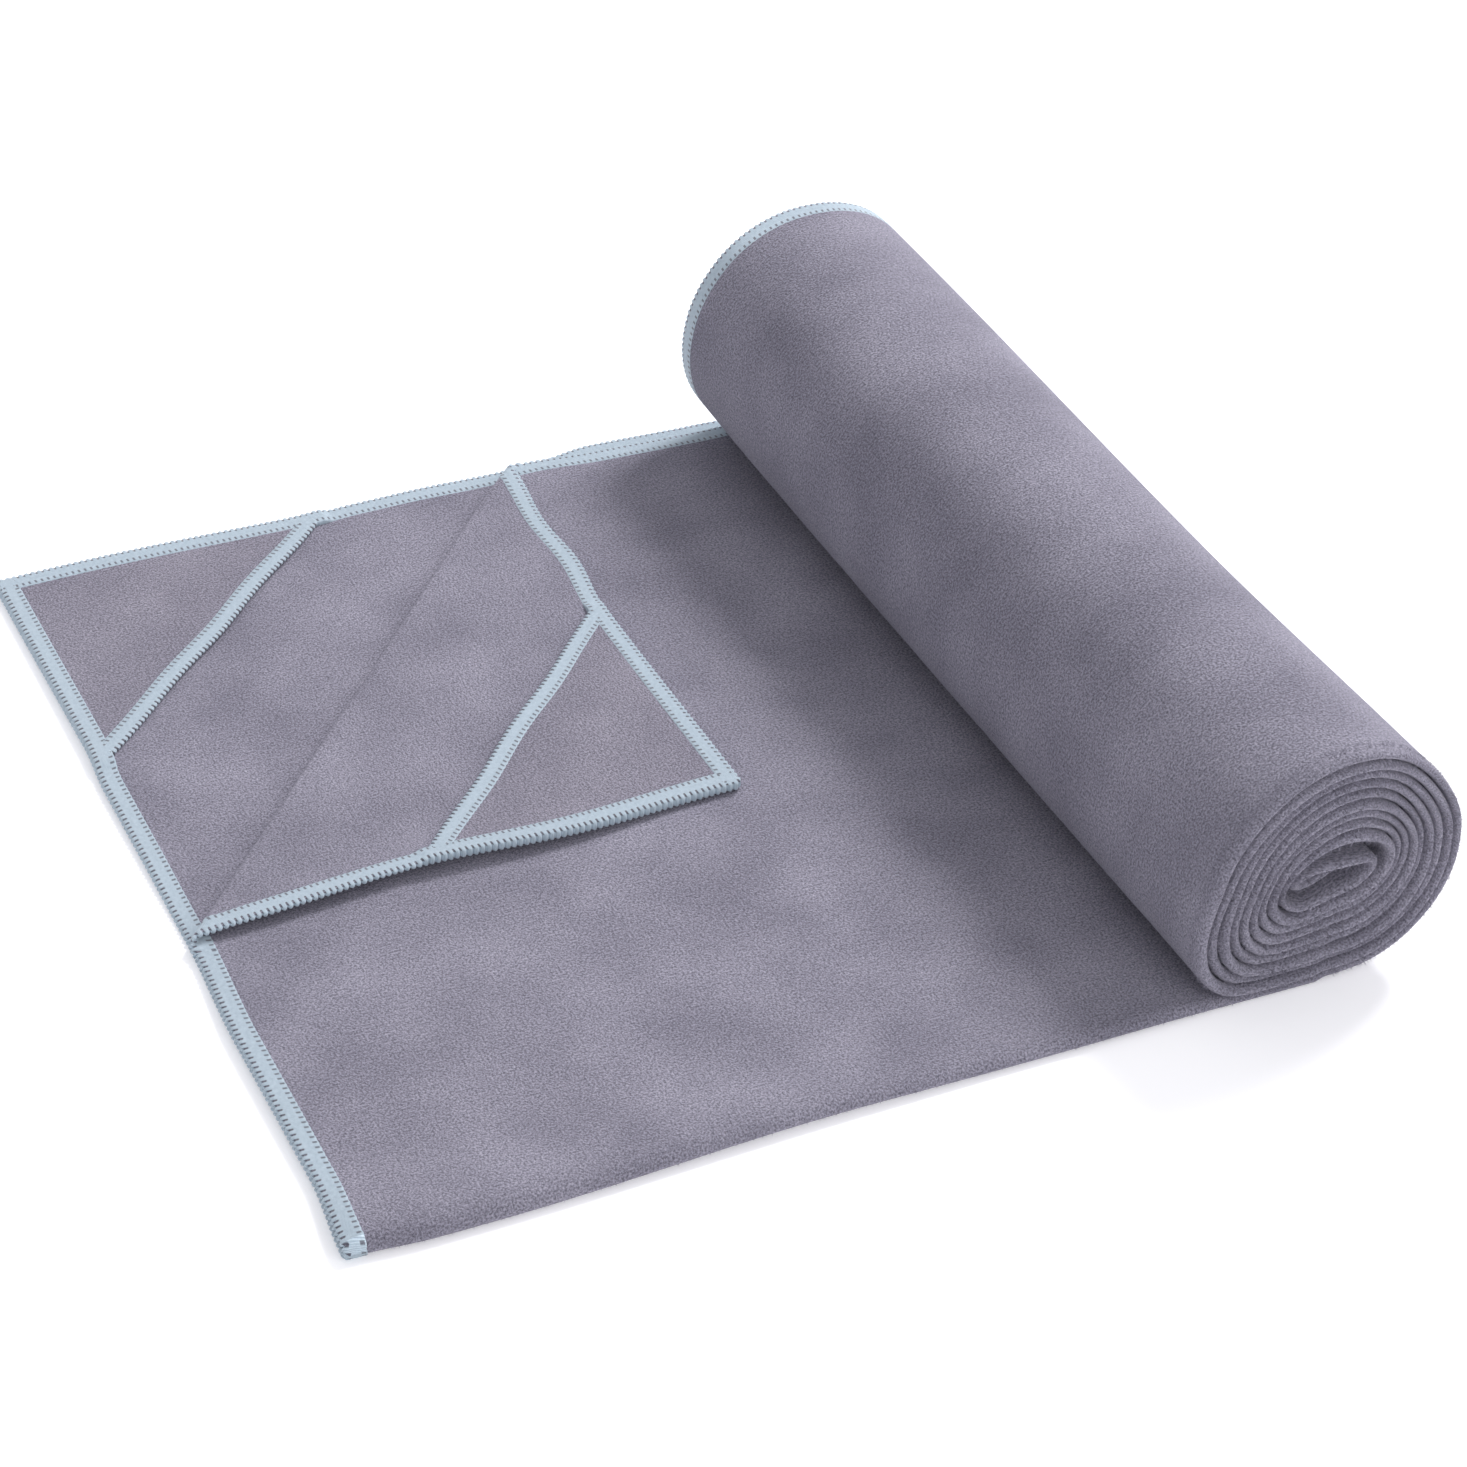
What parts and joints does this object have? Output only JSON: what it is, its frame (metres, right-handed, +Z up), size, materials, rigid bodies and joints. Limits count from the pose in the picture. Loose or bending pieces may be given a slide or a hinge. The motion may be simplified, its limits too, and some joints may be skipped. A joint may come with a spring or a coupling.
{
  "type": "travel towel",
  "caption": "Thin microfibre towel folded in half lengthwise and part rolled up, with corner pockets, overlocked edges and one corner turned back.",
  "frame": {"origin": "on the floor, under the centre of the towel's bounding box", "axes": "+X along the towel towards the roll, +Y from the side fold towards the open long edges, +Z up"},
  "size_m": [0.3316, 0.305, 0.0825],
  "materials": {
    "towel_cloth": "grey-mauve microfibre with a short brushed nap",
    "pocket_cloth": "the same microfibre, cut as corner patches",
    "edging_thread": "pale blue satin overlock thread"
  },
  "bodies": {
    "towel": {"panel_lower_layer": "towel_cloth", "panel_upper_layer": "towel_cloth", "panel_side_fold": "towel_cloth", "panel_rolled_outer": "towel_cloth", "panel_rolled_inner": "towel_cloth", "panel_rolled_side_fold": "towel_cloth", "corner_pocket_lower": "pocket_cloth", "corner_pocket_rolled_outer": "pocket_cloth", "corner_pocket_rolled_inner": "pocket_cloth", "mouth_edging_lower": "edging_thread", "mouth_edging_rolled_outer": "edging_thread", "mouth_edging_rolled_inner": "edging_thread", "edging_lower_short": "edging_thread", "edging_lower_long": "edging_thread", "edging_upper_short": "edging_thread", "edging_upper_long": "edging_thread", "edging_fold_turn": "edging_thread", "edging_rolled_outer_long": "edging_thread", "edging_rolled_outer_short": "edging_thread", "edging_rolled_inner_long": "edging_thread", "edging_rolled_inner_short": "edging_thread"},
    "turned_corner": {"turned_corner": "towel_cloth", "corner_pocket_turned": "pocket_cloth", "mouth_edging_turned": "edging_thread", "edging_turned_long": "edging_thread", "edging_turned_short": "edging_thread"}
  },
  "joints": [
    {"name": "corner_turn", "type": "hinge", "parent": "towel", "child": "turned_corner", "pos_m": [-0.07933, 0.0635, 0.00285], "axis": [-0.697, -0.7171, 0], "range_deg": [0, 172]}
  ]
}
